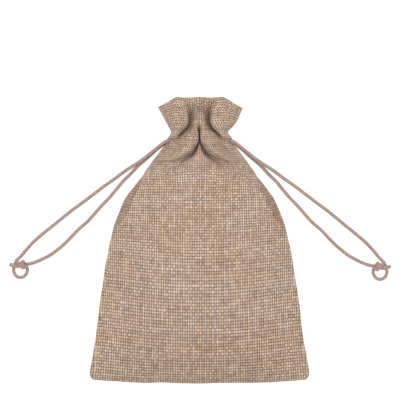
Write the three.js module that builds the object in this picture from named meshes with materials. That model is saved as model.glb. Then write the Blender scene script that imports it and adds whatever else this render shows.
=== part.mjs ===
// Drawstring gift pouch, lying on its back, drawn closed.
// Millimetres. +X to the pouch's right, +Y from the closed bottom towards the
// mouth, +Z up through the front panel. z = 0 is the surface it lies on, and the
// origin is the middle of the pouch's footprint on that surface.
import * as THREE from 'three';

// ---------------------------------------------------------------- dimensions
const CLOTH = 1.0;            // plain-weave cloth, loft included
const SEAM_GAP = 0.3;         // clearance between the two sewn panels
const BOTTOM_Y = -84.75;
const TOP_Y = 82.7;           // mouth fold at the centre line
const CORD_D = 2.0;           // drawstring diameter
const CORD_R = CORD_D / 2;
const THREAD_D = 0.5;         // sewing thread
const CASING_LOW_Y = 55.2;    // lower row of casing stitches
const CASING_HIGH_Y = 65.2;   // upper row of casing stitches
const HEM_END_Y = 51.0;       // raw edge of the turned-in hem, gathered
const FRONT_CORD_Z = 11.2;    // drawstring height where it leaves the front casing
const BACK_CORD_Z = 6.2;      // and where it leaves the back casing
const FRONT_SLIT_Z = 12.5;    // underside of the front panel's edge at the slit
const BACK_SLIT_Z = 4.6;      // upper side of the back panel's edge at the slit
const FRONT_HEM_Z = 9.4;      // turned-in layers, beside the mouth
const BACK_HEM_Z = 8.0;
const FRONT_HEM_RISE = 5.6;   // and how far they part in the middle of it
const BACK_HEM_DROP = 2.2;
const MOUTH_HALF = 9.0;
const HEM_HALF = 13.5;        // half width of the turned-in layers at the casing
const KNOT_D = 5.0;           // stopper knot
const LEAD_ANGLE = 15;        // degrees, direction in which the strands pull out

// half width of the gathered pouch along its height
const HALF_WIDTH = [
  [-84.75, 63.2], [-83.9, 64.4], [-82.6, 65.0], [-80.3, 65.3], [-77.9, 65.0],
  [-68.3, 63.3], [-54.0, 61.2], [-39.7, 59.4], [-25.4, 57.6], [-11.1, 55.2],
  [-1.6, 53.4], [7.8, 51.1], [15.0, 48.7], [19.8, 46.9], [24.6, 44.5],
  [29.4, 40.9], [36.6, 35.6], [43.6, 30.2], [50.8, 24.9], [55.0, 21.8],
  [58.5, 20.0], [61.0, 18.7], [63.9, 17.7], [66.5, 18.6], [69.9, 20.6],
  [74.9, 23.0], [79.2, 24.4],
];
// height of the front panel's crown, of the side seams, and of the back's middle
const CROWN = [
  [-84.75, 2.6], [-82.5, 6.0], [-78, 10.5], [-72, 14.5], [-65, 18], [-45, 24],
  [-20, 27], [5, 27], [25, 25], [40, 22.5], [50, 21.4], [58, 20.6], [65, 20.4],
  [72, 19.6], [85, 18.2],
];
const SEAM_HEIGHT = [
  [-84.75, 1.3], [-80, 2.0], [-72, 4.2], [-65, 5.5], [-45, 7], [-20, 8],
  [20, 9], [50, 9], [60, 9], [85, 9],
];
const BACK_BASE = [[-84.75, 0], [44, 0], [54.6, 1.1], [85, 1.2]];

// left drawstring, on the plan; the right one mirrors it
const UPPER_ROUTE = [
  [-18.0, 58.83, 11.2], [-20.6, 57.75, 11.0], [-23.2, 56.0, 9.6], [-26.23, 53.64, 7.2],
  [-29.64, 51.13, 5.0], [-33.41, 48.26, 3.8], [-37.48, 45.47, 3.0], [-41.58, 42.98, 2.0],
  [-45.97, 40.07, 1.2], [-50.33, 36.74, 1.0], [-57.2, 31.89, 1.0], [-63.57, 27.04, 1.0],
  [-69.83, 22.29, 1.0], [-76.5, 17.44, 1.0], [-82.57, 12.59, 1.0], [-88.53, 7.74, 1.0],
  [-94.59, 2.89, 1.0], [-99.95, -1.86, 1.0], [-103.99, -6.21, 1.0], [-106.71, -9.54, 1.05],
];
const LOWER_ROUTE = [
  [-18.0, 58.83, 6.2], [-20.6, 57.75, 5.7], [-23.2, 55.7, 4.3], [-26.42, 53.24, 2.6],
  [-29.8, 50.16, 1.4], [-33.55, 46.95, 1.0], [-37.34, 43.61, 1.0], [-41.54, 39.06, 1.0],
  [-46.39, 34.31, 1.0], [-50.33, 29.46, 1.0], [-54.47, 24.61, 1.0], [-59.02, 19.86, 1.0],
  [-63.26, 15.01, 1.0], [-67.71, 10.16, 1.0], [-73.17, 5.41, 1.0], [-77.72, 0.56, 1.0],
  [-82.77, -4.29, 1.0], [-88.83, -9.04, 1.0], [-93.58, -11.67, 1.0], [-99.04, -14.09, 1.0],
  [-103.22, -15.18, 1.4],
];
// the upper strand passes the knot on its outside and turns back into it
const LOOP_ROUTE = [
  [-107.5, -10.38, 1.05], [-109.55, -12.48, 1.0], [-110.76, -14.29, 1.0], [-111.67, -16.52, 1.0],
  [-111.97, -18.94, 1.0], [-111.27, -21.27, 1.0], [-109.55, -22.88, 1.0], [-107.43, -23.24, 1.0],
  [-105.41, -22.38, 1.0], [-104.09, -20.56, 1.0], [-103.64, -18.64, 1.0], [-103.77, -17.32, 1.1],
];
// the free end crosses over the loop
const TAIL_ROUTE = [
  [-109.29, -15.48, 3.2], [-110.92, -15.74, 3.1], [-112.7, -15.46, 2.7], [-114.08, -15.13, 2.3],
];
const KNOT_AT = [-106.5, -15.11, 2.7];
// the right knot lies a little further out and lower than the left one
const RIGHT_OUT = 0.9;
const RIGHT_DOWN = 1.1;

// ---------------------------------------------------------------- helpers
const clamp = (v, lo, hi) => Math.min(hi, Math.max(lo, v));
const lerp = (a, b, t) => a + (b - a) * t;
const smooth = (lo, hi, v) => {
  const t = clamp((v - lo) / (hi - lo), 0, 1);
  return t * t * (3 - 2 * t);
};
// monotone cubic interpolation of a table of [position, value]
function table(rows) {
  const n = rows.length;
  const slope = [];
  for (let i = 0; i < n - 1; i++) {
    slope.push((rows[i + 1][1] - rows[i][1]) / (rows[i + 1][0] - rows[i][0]));
  }
  const tangent = rows.map((_, i) => {
    if (i === 0) return slope[0];
    if (i === n - 1) return slope[n - 2];
    return slope[i - 1] * slope[i] <= 0
      ? 0
      : (2 * slope[i - 1] * slope[i]) / (slope[i - 1] + slope[i]);
  });
  return (x) => {
    const v = clamp(x, rows[0][0], rows[n - 1][0]);
    let i = 0;
    while (i < n - 2 && v > rows[i + 1][0]) i++;
    const h = rows[i + 1][0] - rows[i][0];
    const t = (v - rows[i][0]) / h;
    const a = rows[i][1], b = rows[i + 1][1];
    const ta = tangent[i] * h, tb = tangent[i + 1] * h;
    const t2 = t * t, t3 = t2 * t;
    return (2 * t3 - 3 * t2 + 1) * a + (t3 - 2 * t2 + t) * ta
      + (-2 * t3 + 3 * t2) * b + (t3 - t2) * tb;
  };
}
const halfWidth = table(HALF_WIDTH);
const crown = table(CROWN);
const seamHeight = table(SEAM_HEIGHT);
const backBase = table(BACK_BASE);

// the side slit that the drawstrings leave by: 1 where it gapes, 0 where sewn
const slit = (y) => smooth(49, 54.5, y) * (1 - smooth(64.8, 69.5, y));
const pleat = (u, y) => {
  const header = 1.3 * smooth(66.5, 72, y);
  const body = 1.3 * (1 - smooth(49, 54, y)) * smooth(15, 45, y);
  return (header + body) * Math.cos(6 * Math.PI * u) * (1 - Math.pow(Math.abs(u), 6));
};
// upper side of the front panel and underside of the back panel;
// u runs from -1 at the left seam to 1 at the right seam
function frontTop(u, y) {
  const edge = lerp(seamHeight(y) + SEAM_GAP / 2, FRONT_SLIT_Z, slit(y)) + CLOTH;
  return edge + (crown(y) - edge) * (1 - Math.pow(Math.abs(u), 2.5)) + pleat(u, y);
}
function backUnder(u, y) {
  const edge = lerp(seamHeight(y) - SEAM_GAP / 2, BACK_SLIT_Z, slit(y)) - CLOTH;
  const low = backBase(y);
  return low + (edge - low) * smooth(0.55, 1, Math.abs(u));
}
// how the mouth's fold line dips at the corners and peaks between
const mouthLine = table([[0, 0], [0.3, 0.35], [0.52, 1.0], [0.75, -1.3], [1, -4.1]]);
const rowY = (u, y) => y + mouthLine(Math.abs(u)) * smooth(58, TOP_Y, y);
const rowHalf = (y) => halfWidth(y - 4.1 * smooth(58, TOP_Y, y));

// A sheet of cloth as a thin box whose faces are carried onto the gathered
// shape: rows[] is the path of the cut from the bottom edge to the hem's edge.
function sheet(across, rows) {
  const g = new THREE.BoxGeometry(2, rows.length - 1, 1, across, rows.length - 1, 1);
  const p = g.attributes.position;
  for (let i = 0; i < p.count; i++) {
    const u = p.getX(i);
    const row = Math.round(p.getY(i) + (rows.length - 1) / 2);
    const side = Math.sign(p.getZ(i));
    const [x, y, z, ny, nz] = rows[row](u);
    p.setXYZ(i, x, y + side * ny * CLOTH / 2, z + side * nz * CLOTH / 2);
  }
  return g;
}
function rowsOf(front) {
  const sign = front ? 1 : -1;
  const rows = [];
  const outer = (y) => (u) => {
    const yy = rowY(u, y);
    const z = front ? frontTop(u, y) - CLOTH / 2 : backUnder(u, y) + CLOTH / 2;
    return [u * rowHalf(y), yy, z, 0, 1];
  };
  for (const y of [
    BOTTOM_Y, -83.9, -82.2, -79, -74, -67, -57, -45, -32, -18, -4, 8, 18, 26, 33, 39, 44,
    48.5, 52, 55, 58, 61.5, 65, 67.5, 70, 73, 76.5, 80, TOP_Y,
  ]) rows.push(outer(y));
  // the turned-in layer, from the fold down to its own edge
  const hemZ = (u, y) => {
    const x = u * hemHalf(y);
    const part = Math.abs(x) < MOUTH_HALF ? Math.cos(Math.PI * x / MOUTH_HALF / 2) ** 2 : 0;
    const casing = front ? FRONT_HEM_Z + FRONT_HEM_RISE * part : BACK_HEM_Z - BACK_HEM_DROP * part;
    const w = hemHalf(y) / rowHalf(y);
    const top = front
      ? frontTop(u * w, y) - CLOTH / 2 - 1.5
      : backUnder(u * w, y) + CLOTH / 2 + 1.5;
    return lerp(casing, top, smooth(66.2, 73, y));
  };
  const hemHalf = (y) => lerp(HEM_HALF, rowHalf(y) - 3.6, smooth(67, 80, y));
  const fold = (angle) => (u) => {
    const a = angle * Math.PI / 180;
    const [x, y, z] = outer(TOP_Y)(u);
    const w = lerp(1, hemHalf(TOP_Y) / rowHalf(TOP_Y), angle / 180);
    const zIn = hemZ(u, TOP_Y);
    const mid = (z + zIn) / 2, half = (z - zIn) / 2;
    return [x * w, y + Math.abs(half) * Math.sin(a), mid + half * Math.cos(a),
      sign * Math.sin(a), Math.cos(a)];
  };
  rows.push(fold(60), fold(120));
  for (const y of [TOP_Y, 80, 77, 74, 71, 68.5, 66.5, 64, 61, 58, 55, HEM_END_Y]) {
    rows.push((u) => [u * hemHalf(y), rowY(u, y), hemZ(u, y), 0, -1]);
  }
  return rows;
}

function polygon(radius, sides) {
  const s = new THREE.Shape();
  for (let i = 0; i < sides; i++) {
    const a = (i + 0.5) * 2 * Math.PI / sides;
    const x = radius * Math.cos(a), y = radius * Math.sin(a);
    if (i === 0) s.moveTo(x, y); else s.lineTo(x, y);
  }
  s.closePath();
  return s;
}
function tube(points, radius, sides, steps) {
  const path = new THREE.CatmullRomCurve3(points.map((p) => new THREE.Vector3(...p)), false, 'centripetal');
  return new THREE.ExtrudeGeometry(polygon(radius, sides), {
    steps, bevelEnabled: false, extrudePath: path,
  });
}
const mirror = (points) => points.map(([x, y, z]) => {
  const t = smooth(60, 105, -x);
  return [-x + RIGHT_OUT * t, y - RIGHT_DOWN * t, z];
});

// ---------------------------------------------------------------- materials
const cloth = () => new THREE.MeshStandardMaterial({ color: 0xb39d8d, roughness: 0.95, metalness: 0 });
const cord = () => new THREE.MeshStandardMaterial({ color: 0xac9487, roughness: 0.8, metalness: 0 });
const thread = () => new THREE.MeshStandardMaterial({ color: 0xb8a18d, roughness: 0.7, metalness: 0 });

const pouch = new THREE.Group();
function add(name, geometry, material) {
  const m = new THREE.Mesh(geometry, material);
  m.name = name;
  pouch.add(m);
}

// ---------------------------------------------------------------- cloth
add('front_panel', sheet(16, rowsOf(true)), cloth());
add('back_panel', sheet(16, rowsOf(false)), cloth());

// middle of the space between the two panels, at a distance in from the seam
function between(side, y, inset) {
  const w = rowHalf(y);
  const u = (w - inset) / w;
  const z = (frontTop(u, y) - CLOTH + backUnder(u, y) + CLOTH) / 2;
  return [side * (w - inset), rowY(side * u, y), z];
}
for (const [name, side] of [['left', -1], ['right', 1]]) {
  add(`${name}_side_seam_thread`,
    tube([-70, -58, -40, -20, 0, 12, 22, 30, 38, 45].map((y) => between(side, y, 1.8)), THREAD_D / 2, 4, 22),
    thread());
  add(`${name}_header_seam_thread`,
    tube([71.5, 74, 77, 79.5].map((y) => between(side, y, 1.9)), THREAD_D / 2, 4, 6),
    thread());
  // the serged edges of both panels, pressed together inside the pouch
  const edge = [-64, -52, -36, -18, 0, 12, 22, 30, 37, 43];
  const g = new THREE.BoxGeometry(1, edge.length - 1, 1, 1, edge.length - 1, 1);
  const p = g.attributes.position;
  for (let i = 0; i < p.count; i++) {
    const y = edge[Math.round(p.getY(i) + (edge.length - 1) / 2)];
    const inset = 6.4 + Math.sign(-side * p.getX(i)) * 3.0;
    const [x, yy, z] = between(side, y, inset);
    p.setXYZ(i, x, yy, z + Math.sign(p.getZ(i)) * 0.5);
  }
  add(`${name}_seam_allowance`, g, cloth());
}
{
  const xs = [-50, -40, -28, -14, 0, 14, 28, 40, 50];
  const at = (x, y, lift) => [x, y, backUnder(x / rowHalf(y), y) + CLOTH + lift];
  add('bottom_seam_thread', tube(xs.map((x) => at(x, -82.6, 0.62)), THREAD_D / 2, 4, 20), thread());
  const g = new THREE.BoxGeometry(xs.length - 1, 1, 1, xs.length - 1, 1, 1);
  const p = g.attributes.position;
  for (let i = 0; i < p.count; i++) {
    const x = xs[Math.round(p.getX(i) + (xs.length - 1) / 2)];
    const y = -78.4 + Math.sign(p.getY(i)) * 3.0;
    const [, , z] = at(x, y, 0.9);
    p.setXYZ(i, x, y, z + Math.sign(p.getZ(i)) * 0.5);
  }
  add('bottom_seam_allowance', g, cloth());
}

// ---------------------------------------------------------------- stitches
function stitchRow(front, y) {
  const xs = [-16, -13, -10, -7.5, -5, -2.5, 0, 2.5, 5, 7.5, 10, 13, 16];
  const points = xs.map((x) => {
    const u = x / rowHalf(y);
    const z = front
      ? frontTop(u, y) + 0.35 + THREAD_D / 2
      : backUnder(u, y) - 0.32 - THREAD_D / 2;
    return [x, rowY(u, y), z];
  });
  return tube(points, THREAD_D / 2, 4, 18);
}
add('front_casing_lower_stitches', stitchRow(true, CASING_LOW_Y), thread());
add('front_casing_upper_stitches', stitchRow(true, CASING_HIGH_Y), thread());
add('back_casing_lower_stitches', stitchRow(false, CASING_LOW_Y), thread());
add('back_casing_upper_stitches', stitchRow(false, CASING_HIGH_Y), thread());

// ---------------------------------------------------------------- drawstrings
// the part that stays inside the casing: out through the front tunnel, round
// the far slit, back through the back tunnel
function channelRun(side, yNear, yFar) {
  const rise = (x) => (Math.abs(x) < MOUTH_HALF ? Math.cos(Math.PI * x / MOUTH_HALF / 2) ** 2 : 0);
  const yOf = (x) => lerp(yNear, yFar, smooth(-8.4, 11, x));
  const points = [];
  for (const x of [-8.4, -6, -3.5, 0, 3.5, 6, 9, 12]) {
    points.push([x, yOf(x), FRONT_CORD_Z + (FRONT_HEM_RISE + 0.8) * rise(x)]);
  }
  const mid = (FRONT_CORD_Z + BACK_CORD_Z) / 2, r = (FRONT_CORD_Z - BACK_CORD_Z) / 2;
  for (const a of [75, 40, 0, -40, -75]) {
    const t = a * Math.PI / 180;
    points.push([14 + r * Math.cos(t), yFar, mid + r * Math.sin(t)]);
  }
  for (const x of [12, 9, 6, 3.5, 0, -3.5, -6, -8.4]) {
    points.push([x, yOf(x), BACK_CORD_Z - (BACK_HEM_DROP + 0.2) * rise(x)]);
  }
  return tube(side < 0 ? points : mirror(points), CORD_R, 8, 34);
}
add('left_drawstring_channel_run', channelRun(-1, 61.4, 57.0), cord());
add('right_drawstring_channel_run', channelRun(1, 61.4, 63.7), cord());

const lead = LEAD_ANGLE * Math.PI / 180;
function strand(side, route) {
  const [x0, y0, z0] = route[0];
  const start = [9.3, 6, 3].map((d) => [x0 + d * Math.cos(lead), y0 + d * Math.sin(lead), z0]);
  const points = [...start, ...route];
  return tube(side < 0 ? points : mirror(points), CORD_R, 8, 46);
}
function knot(side) {
  const g = new THREE.SphereGeometry(KNOT_D / 2, 14, 9);
  g.translate(...(side < 0 ? KNOT_AT : mirror([KNOT_AT])[0]));
  return g;
}
function bare(side, route, steps) {
  return tube(side < 0 ? route : mirror(route), 0.95, 8, steps);
}
for (const [name, side] of [['left', -1], ['right', 1]]) {
  add(`${name}_drawstring_upper_strand`, strand(side, UPPER_ROUTE), cord());
  add(`${name}_drawstring_lower_strand`, strand(side, LOWER_ROUTE), cord());
  add(`${name}_drawstring_knot`, knot(side), cord());
  add(`${name}_drawstring_end_loop`, bare(side, LOOP_ROUTE, 24), cord());
  add(`${name}_drawstring_tail`, bare(side, TAIL_ROUTE, 4), cord());
}

export default pouch;
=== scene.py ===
"""Drawstring gift pouch: the looks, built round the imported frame. Metres, +Z up, the pouch lies on its back."""
import math

import bmesh
import bpy
import numpy as np
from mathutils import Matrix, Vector


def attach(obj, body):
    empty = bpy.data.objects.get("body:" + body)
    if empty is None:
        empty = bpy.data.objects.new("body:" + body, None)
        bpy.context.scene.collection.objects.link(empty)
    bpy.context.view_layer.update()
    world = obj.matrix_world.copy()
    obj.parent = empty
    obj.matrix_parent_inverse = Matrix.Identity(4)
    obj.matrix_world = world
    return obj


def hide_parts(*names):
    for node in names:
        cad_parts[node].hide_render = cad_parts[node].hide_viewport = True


bpy.ops.wm.read_factory_settings(use_empty=True)
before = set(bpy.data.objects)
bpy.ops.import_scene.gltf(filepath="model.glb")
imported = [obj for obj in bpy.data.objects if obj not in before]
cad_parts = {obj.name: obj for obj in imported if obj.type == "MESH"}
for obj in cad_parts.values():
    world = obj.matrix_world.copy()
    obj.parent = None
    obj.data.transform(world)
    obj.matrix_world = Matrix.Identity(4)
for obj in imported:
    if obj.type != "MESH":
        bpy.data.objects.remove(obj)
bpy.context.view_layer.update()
MM = 0.001
rng = np.random.default_rng(20240611)

# ------------------------------------------------------------------ camera
scene = bpy.context.scene
cam_data = bpy.data.cameras.new("camera")
cam_data.sensor_width = 36.0
cam_data.lens = 100.0
cam_data.clip_start = 0.01
cam_data.clip_end = 20.0
camera = bpy.data.objects.new("camera", cam_data)
VIEW_WIDTH = 0.2384
camera.location = (0.0003, 0.0234, 0.008 + VIEW_WIDTH * 100.0 / 36.0)
camera.rotation_euler = (0.0, 0.0, 0.0)
scene.collection.objects.link(camera)
scene.camera = camera


# ------------------------------------------------------------------ maths
def hermite(xk, yk, xs, monotone=True):
    """Cubic interpolation of yk (K x ...) at knots xk, sampled at xs."""
    xk = np.asarray(xk, float)
    yk = np.asarray(yk, float)
    xs = np.clip(np.asarray(xs, float), xk[0], xk[-1])
    h = np.diff(xk)
    shape = (-1,) + (1,) * (yk.ndim - 1)
    d = np.diff(yk, axis=0) / h.reshape(shape)
    m = np.zeros_like(yk)
    if monotone:
        a, b = d[:-1], d[1:]
        w1 = (2 * h[1:] + h[:-1]).reshape(shape)
        w2 = (h[1:] + 2 * h[:-1]).reshape(shape)
        with np.errstate(divide="ignore", invalid="ignore"):
            hm = (w1 + w2) / (w1 / a + w2 / b)
        m[1:-1] = np.where(a * b > 0, hm, 0.0)
    else:
        a, b = d[:-1], d[1:]
        w = (h[:-1] / (h[:-1] + h[1:])).reshape(shape)
        m[1:-1] = a * (1 - w) + b * w
    m[0], m[-1] = d[0], d[-1]
    i = np.clip(np.searchsorted(xk, xs, side="right") - 1, 0, len(xk) - 2)
    hh = h[i].reshape(shape)
    t = ((xs - xk[i]) / h[i]).reshape(shape)
    t2, t3 = t * t, t * t * t
    return (
        (2 * t3 - 3 * t2 + 1) * yk[i]
        + (t3 - 2 * t2 + t) * hh * m[i]
        + (-2 * t3 + 3 * t2) * yk[i + 1]
        + (t3 - t2) * hh * m[i + 1]
    )


def smooth(lo, hi, v):
    t = np.clip((np.asarray(v, float) - lo) / (hi - lo), 0, 1)
    return t * t * (3 - 2 * t)


def table(rows):
    k = np.array([r[0] for r in rows], float)
    v = np.array([r[1] for r in rows], float)
    return lambda x: hermite(k, v, np.atleast_1d(np.asarray(x, float)))


def value_noise(x, y, seed):
    """Smooth 2D noise in -1..1, the same on every run."""
    r = np.random.default_rng(seed)
    g = r.uniform(-1, 1, (64, 64))
    xi, yi = np.floor(x).astype(int), np.floor(y).astype(int)
    fx, fy = x - xi, y - yi
    fx, fy = fx * fx * (3 - 2 * fx), fy * fy * (3 - 2 * fy)
    a, b = g[xi % 64, yi % 64], g[(xi + 1) % 64, yi % 64]
    c, d = g[xi % 64, (yi + 1) % 64], g[(xi + 1) % 64, (yi + 1) % 64]
    return (a * (1 - fx) + b * fx) * (1 - fy) + (c * (1 - fx) + d * fx) * fy


# ------------------------------------------------------------------ the gathered shape, in mm
BOTTOM_Y, TOP_Y = -84.75, 83.2
FLAT_H = 180.0
HEM = 33.0
half_width = table([
    (-84.75, 63.2), (-83.9, 64.4), (-82.6, 65.0), (-80.3, 65.3), (-77.9, 65.0), (-68.3, 63.3),
    (-54.0, 61.2), (-39.7, 59.4), (-25.4, 57.6), (-11.1, 55.2), (-1.6, 53.4), (7.8, 51.1),
    (15.0, 48.7), (19.8, 46.9), (24.6, 44.5), (29.4, 40.9), (36.6, 35.6), (43.6, 30.2),
    (50.8, 24.9), (55.0, 21.8), (58.5, 20.0), (61.0, 18.7), (63.9, 17.7), (66.5, 18.6),
    (69.9, 20.6), (74.9, 23.0), (79.2, 24.4)])
crown = table([
    (-84.75, 1.9), (-83.6, 4.0), (-82.0, 6.0), (-78, 9.6), (-72, 13.6), (-65, 17.2), (-45, 23),
    (-20, 26), (5, 26.4), (25, 25), (33, 23.8), (40, 22.5)])
seam_height = table([
    (-84.75, 1.2), (-80, 2.0), (-72, 4.2), (-65, 5.5), (-45, 7), (-20, 8.6), (-4, 10.6), (8, 12.8), (18, 13.8),
    (27, 13.4), (35, 11.6), (41, 9.7), (44.5, 9.1), (85, 9)])
# the seam lies inside the outline at the shoulders, where the back panel rolls round it
seam_inset = table([
    (-60, 0.0), (-3, 0.0), (2, 0.4), (6.7, 1.3), (10, 2.6), (15, 4.3), (18.6, 4.8), (22.5, 4.8),
    (25, 4.6), (30, 3.8), (34.5, 2.1), (38, 0.7), (42, 0.0), (44, 0.0), (85, 0.0)])

# Half sections through the neck. Every row has the same features in the same order, so that a fold
# runs on from row to row: middle, flat of the centre, lip, bottom and wall of the inner crevice, ridge
# shoulder, ridge, flank, valley lip, out and back of the pleat hidden under the lobe, lobe lip, lobe, seam.
U_AT = np.array([0, 3, 5.5, 8, 10.5, 13, 17, 22, 26, 32, 37, 42, 46, 51, 58, 65], float)
NECK = [
    (44.5,
     [0, 4.2, 8.4, 12.0, 13.6, 15.4, 17.8, 20.0, 21.6, 23.4, 24.8, 26.0, 26.9, 27.9, 28.9, 29.5],
     [21.2, 21.0, 20.0, 17.9, 17.9, 18.9, 19.3, 18.2, 17.0, 15.3, 14.0, 12.9, 12.0, 10.9, 9.8, 9.1]),
    (46.6,
     [0, 3.9, 7.8, 11.2, 13.0, 15.0, 18.0, 20.2, 21.6, 23.0, 24.3, 25.3, 26.1, 27.0, 27.8, 28.2],
     [20.7, 20.4, 18.6, 14.2, 16.0, 20.0, 21.4, 19.8, 18.3, 16.6, 15.0, 13.6, 12.5, 11.2, 9.9, 9.1]),
    (48.0,
     [0, 3.6, 6.4, 8.4, 10.3, 12.3, 15.2, 18.2, 20.0, 21.8, 23.0, 24.1, 25.0, 25.8, 26.6, 27.0],
     [20.9, 20.4, 17.8, 13.0, 15.8, 20.4, 22.8, 21.2, 19.4, 17.4, 15.8, 14.2, 12.9, 11.5, 10.0, 9.1]),
    (49.6,
     [0, 2.4, 4.1, 5.3, 6.8, 8.6, 12.0, 15.6, 17.8, 20.0, 21.4, 22.6, 23.6, 24.5, 25.4, 25.8],
     [20.8, 20.1, 16.8, 11.6, 15.2, 20.4, 23.2, 21.6, 19.6, 17.2, 15.6, 14.0, 12.9, 11.5, 10.0, 9.1]),
    (52.0,
     [0, 1.5, 2.4, 3.1, 3.9, 5.2, 9.0, 12.8, 15.0, 17.6, 19.2, 20.6, 21.7, 22.7, 23.5, 24.0],
     [20.6, 19.8, 15.6, 10.6, 14.4, 19.8, 23.2, 21.2, 18.4, 15.6, 14.0, 12.9, 12.1, 10.8, 9.7, 9.0]),
    (55.0,
     [0, 0.8, 1.3, 1.7, 2.0, 2.9, 6.4, 10.6, 12.9, 15.4, 16.9, 18.2, 19.3, 20.4, 21.3, 21.8],
     [19.8, 18.6, 14.0, 9.8, 14.4, 19.5, 22.8, 20.2, 16.6, 13.8, 12.9, 11.6, 10.4, 9.8, 9.3, 9.0]),
    (57.6,
     [0, 0.3, 0.6, 0.9, 0.7, 1.2, 5.2, 9.4, 12.2, 14.4, 15.4, 16.4, 17.5, 18.6, 19.8, 20.4],
     [16.2, 14.6, 11.4, 9.6, 14.8, 19.2, 22.0, 19.2, 15.6, 13.2, 12.9, 12.6, 11.0, 9.6, 9.3, 9.1]),
    (60.2,
     [0, 0.2, 0.3, 0.4, 0.3, 0.6, 4.6, 8.4, 11.2, 13.1, 13.4, 13.5, 14.6, 16.6, 18.6, 19.3],
     [9.0, 9.4, 10.8, 13.2, 16.6, 19.2, 21.4, 18.8, 15.4, 13.0, 13.0, 14.8, 16.2, 16.6, 14.4, 12.2]),
    (62.6,
     [0, 0.2, 0.35, 0.4, 0.35, 0.7, 4.3, 7.7, 10.2, 12.1, 12.4, 11.9, 13.0, 15.0, 17.0, 17.7],
     [9.0, 9.8, 11.8, 14.2, 16.8, 18.9, 20.4, 17.8, 12.8, 10.4, 10.6, 13.6, 16.6, 17.2, 14.2, 10.8]),
    (64.7,
     [0, 0.35, 0.55, 0.7, 0.7, 1.3, 4.0, 6.6, 8.6, 10.2, 11.6, 9.5, 10.6, 13.4, 16.0, 16.9],
     [10.8, 11.8, 13.6, 15.7, 17.5, 18.7, 19.0, 15.8, 10.6, 6.8, 8.4, 12.6, 16.8, 17.6, 14.2, 9.8]),
    (67.0,
     [0, 0.7, 1.2, 1.7, 2.3, 3.0, 4.0, 5.4, 6.7, 10.6, 10.8, 7.2, 8.2, 12.0, 16.0, 17.6],
     [14.6, 15.4, 16.6, 17.3, 17.5, 17.1, 15.6, 12.0, 7.6, 5.6, 8.6, 12.4, 17.2, 18.6, 15.0, 9.3]),
    (70.5,
     [0, 1.0, 1.9, 2.6, 3.2, 3.8, 4.5, 5.3, 6.1, 11.8, 11.8, 6.3, 7.0, 11.6, 16.8, 19.0],
     [15.4, 15.8, 15.9, 15.4, 14.4, 12.8, 10.6, 7.8, 5.6, 5.2, 8.2, 12.6, 17.6, 19.2, 15.4, 9.2]),
    (75.0,
     [0, 1.1, 2.1, 3.0, 3.8, 4.5, 5.2, 5.8, 6.3, 12.6, 12.6, 6.7, 7.5, 12.2, 18.2, 20.9],
     [10.0, 10.2, 10.2, 9.8, 9.0, 7.9, 6.8, 5.8, 5.3, 5.2, 8.2, 13.0, 18.0, 19.4, 15.6, 9.2]),
    (79.3,
     [0, 1.2, 2.3, 3.4, 4.3, 5.1, 5.9, 6.5, 6.9, 13.0, 13.0, 7.4, 8.3, 12.8, 19.0, 22.6],
     [5.6, 5.7, 5.9, 6.0, 5.9, 5.7, 5.4, 5.2, 5.1, 5.2, 8.2, 12.8, 17.9, 19.2, 15.6, 9.2]),
    (83.2,
     [0, 1.5, 2.9, 4.2, 5.4, 6.5, 7.4, 8.1, 8.6, 13.8, 13.8, 9.2, 10.2, 14.0, 20.0, 24.6],
     [5.4, 5.4, 5.4, 5.4, 5.3, 5.3, 5.2, 5.2, 5.2, 5.5, 8.2, 12.8, 17.2, 18.2, 15.0, 9.2]),
]
# back panel: shallower folds, it is pressed against what it lies on; heights at even steps of its width
BACK_NECK = [
    (44.5, [0.5, 0.5, 0.5, 0.5, 0.5, 0.5, 0.5, 0.5, 0.5, 0.7, 1.1, 1.8, 2.8, 4.0, 5.8, 8.7]),
    (50.0, [0.7, 1.0, 1.3, 0.8, 0.5, 0.9, 1.4, 0.8, 0.5, 0.7, 1.5, 1.3, 1.5, 3.0, 5.5, 8.4]),
    (56.0, [0.8, 2.4, 3.9, 2.2, 0.8, 2.4, 3.6, 2.0, 0.8, 0.7, 0.8, 0.9, 1.6, 3.6, 3.4, 5.4]),
    (60.0, [0.8, 2.8, 4.4, 2.4, 0.9, 2.6, 4.2, 2.2, 0.8, 0.7, 0.7, 0.9, 2.0, 4.2, 3.0, 4.8]),
    (64.5, [0.8, 2.6, 4.2, 2.4, 0.9, 2.4, 3.8, 2.0, 0.8, 0.7, 0.8, 1.2, 3.0, 4.4, 4.6, 8.6]),
    (70.0, [0.8, 1.9, 2.8, 1.6, 0.7, 1.2, 1.8, 1.2, 0.7, 0.8, 1.4, 3.6, 4.2, 1.8, 3.8, 8.8]),
    (77.0, [0.8, 1.8, 2.6, 1.5, 0.7, 1.1, 1.6, 1.1, 0.7, 0.9, 1.6, 4.0, 3.6, 1.4, 4.0, 8.8]),
    (83.2, [0.8, 1.9, 2.6, 1.5, 0.7, 1.1, 1.6, 1.1, 0.7, 1.0, 1.8, 4.2, 3.2, 1.3, 4.2, 8.8]),
]
header_half = table([
    (44.5, 29.5), (50, 25.5), (56, 21.3), (60, 19.4), (62.6, 17.7), (64.7, 16.9), (67.0, 17.6), (70.5, 19.0),
    (75.0, 20.9), (79.3, 22.6), (83.2, 24.6)])
MOUTH_FRONT = table([(0, 0.25), (0.3, 0.1), (0.646, 0.0), (0.70, 0.4), (0.754, 1.5), (0.785, 0.85), (0.892, -1.9), (1, -4.1)])
MOUTH_BACK = table([(0, 1.1), (0.2, 0.9), (0.375, 0.7), (0.44, 0.9), (0.51, 1.4), (0.57, 0.9), (0.8, -1.9), (1, -4.1)])


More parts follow.
